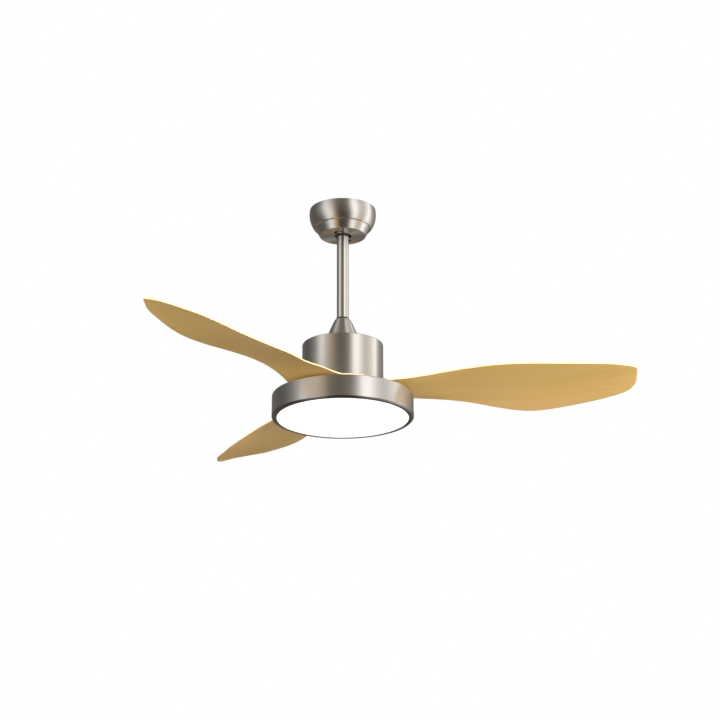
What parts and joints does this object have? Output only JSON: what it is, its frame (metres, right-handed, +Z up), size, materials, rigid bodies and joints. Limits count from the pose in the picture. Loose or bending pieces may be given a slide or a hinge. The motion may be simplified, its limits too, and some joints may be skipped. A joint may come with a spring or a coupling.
{
  "type": "ceiling fan with light",
  "caption": "Ceiling fan on a short downrod, with a bowl canopy, a drum motor housing, twisted wood-look blades and a flat round drum light with an opal diffuser.",
  "frame": {"origin": "on the fan's axis, in the ceiling's plane, midway between the bracket's two slots", "axes": "+Z up out of the ceiling bracket, so the fan hangs below the origin; the bracket's slots lie along Y, and the ball drops into its seat from +X; the fan is seen from -Y"},
  "size_m": [1.0456, 1.1448, 0.498],
  "materials": {
    "brushed_nickel": "brushed nickel plate on steel, satin",
    "nickel_screw": "nickel plated screw",
    "black_steel": "black powder coat",
    "zinc_steel": "zinc plated",
    "core_steel": "stacked laminations, varnished",
    "bearing_steel": "ground and polished",
    "cast_aluminium": "die cast and machined",
    "copper_wire": "enamelled copper wire",
    "magnet": "ferrite, ground",
    "black_nylon": "moulded nylon",
    "black_rubber": "soft rubber",
    "white_plastic": "moulded plastic",
    "white_board": "white solder mask on an aluminium board",
    "led_phosphor": "phosphor filled silicone",
    "opal_acrylic": "opal acrylic, satin, lit from inside",
    "woodgrain_abs": "moulded ABS with a fine light wood grain, satin"
  },
  "bodies": {
    "ceiling_mount": {"hanger_bracket": "black_steel", "canopy": "brushed_nickel", "canopy_screws": "nickel_screw", "remote_receiver": "white_plastic", "terminal_block": "white_plastic"},
    "seat_pads": {"ball_seat_pads": "black_nylon"},
    "hanging_fan": {"hanger_ball": "black_nylon", "cross_pin": "zinc_steel", "ball_set_screw": "zinc_steel", "downrod": "brushed_nickel", "rod_gasket": "black_rubber", "coupling_cover": "brushed_nickel", "motor_yoke": "zinc_steel", "yoke_set_screws": "zinc_steel", "hitch_pin": "zinc_steel", "hitch_clip": "zinc_steel", "motor_housing": "brushed_nickel", "housing_screws": "zinc_steel", "housing_nuts": "zinc_steel", "motor_shaft": "zinc_steel", "yoke_locknut": "zinc_steel", "stator_core": "core_steel", "stator_windings": "copper_wire", "bearing_inner_rings": "bearing_steel", "spacer_sleeve": "zinc_steel", "light_mount_plate": "zinc_steel", "shaft_nut": "zinc_steel", "drum_shell": "brushed_nickel", "drum_screws": "zinc_steel", "trim_ring": "brushed_nickel", "tray_posts": "zinc_steel", "led_tray": "cast_aluminium", "led_board": "white_board", "led_chips": "led_phosphor", "tray_screws": "zinc_steel", "led_driver": "white_plastic", "through_cable": "white_plastic", "cable_plugs": "white_plastic"},
    "rotor": {"rotor_cover_upper": "cast_aluminium", "rotor_cover_lower": "cast_aluminium", "rotor_screws": "zinc_steel", "rotor_magnets": "magnet", "bearing_outer_rings": "bearing_steel", "bearing_balls": "bearing_steel", "blade_flange": "cast_aluminium", "flange_screws": "zinc_steel", "blade_screws": "zinc_steel", "blade_washers": "black_rubber", "blade_1": "woodgrain_abs", "blade_2": "woodgrain_abs", "blade_3": "woodgrain_abs"},
    "diffuser_cover": {"diffuser": "opal_acrylic"}
  },
  "joints": [
    {"name": "sway_x", "type": "hinge", "parent": "ceiling_mount", "child": "seat_pads", "pos_m": [0, 0, -0.038], "axis": [1, 0, 0], "range_deg": [-8, 8]},
    {"name": "sway_y", "type": "hinge", "parent": "seat_pads", "child": "hanging_fan", "pos_m": [0, 0, -0.038], "axis": [0, 1, 0], "range_deg": [-8, 8]},
    {"name": "rotor_spin", "type": "hinge", "parent": "hanging_fan", "child": "rotor", "pos_m": [0, 0, -0.435], "axis": [0, 0, -1], "continuous": true},
    {"name": "diffuser_twist", "type": "hinge", "parent": "hanging_fan", "child": "diffuser_cover", "pos_m": [0, 0, -0.49], "axis": [0, 0, -1], "range_deg": [0, 25]}
  ]
}
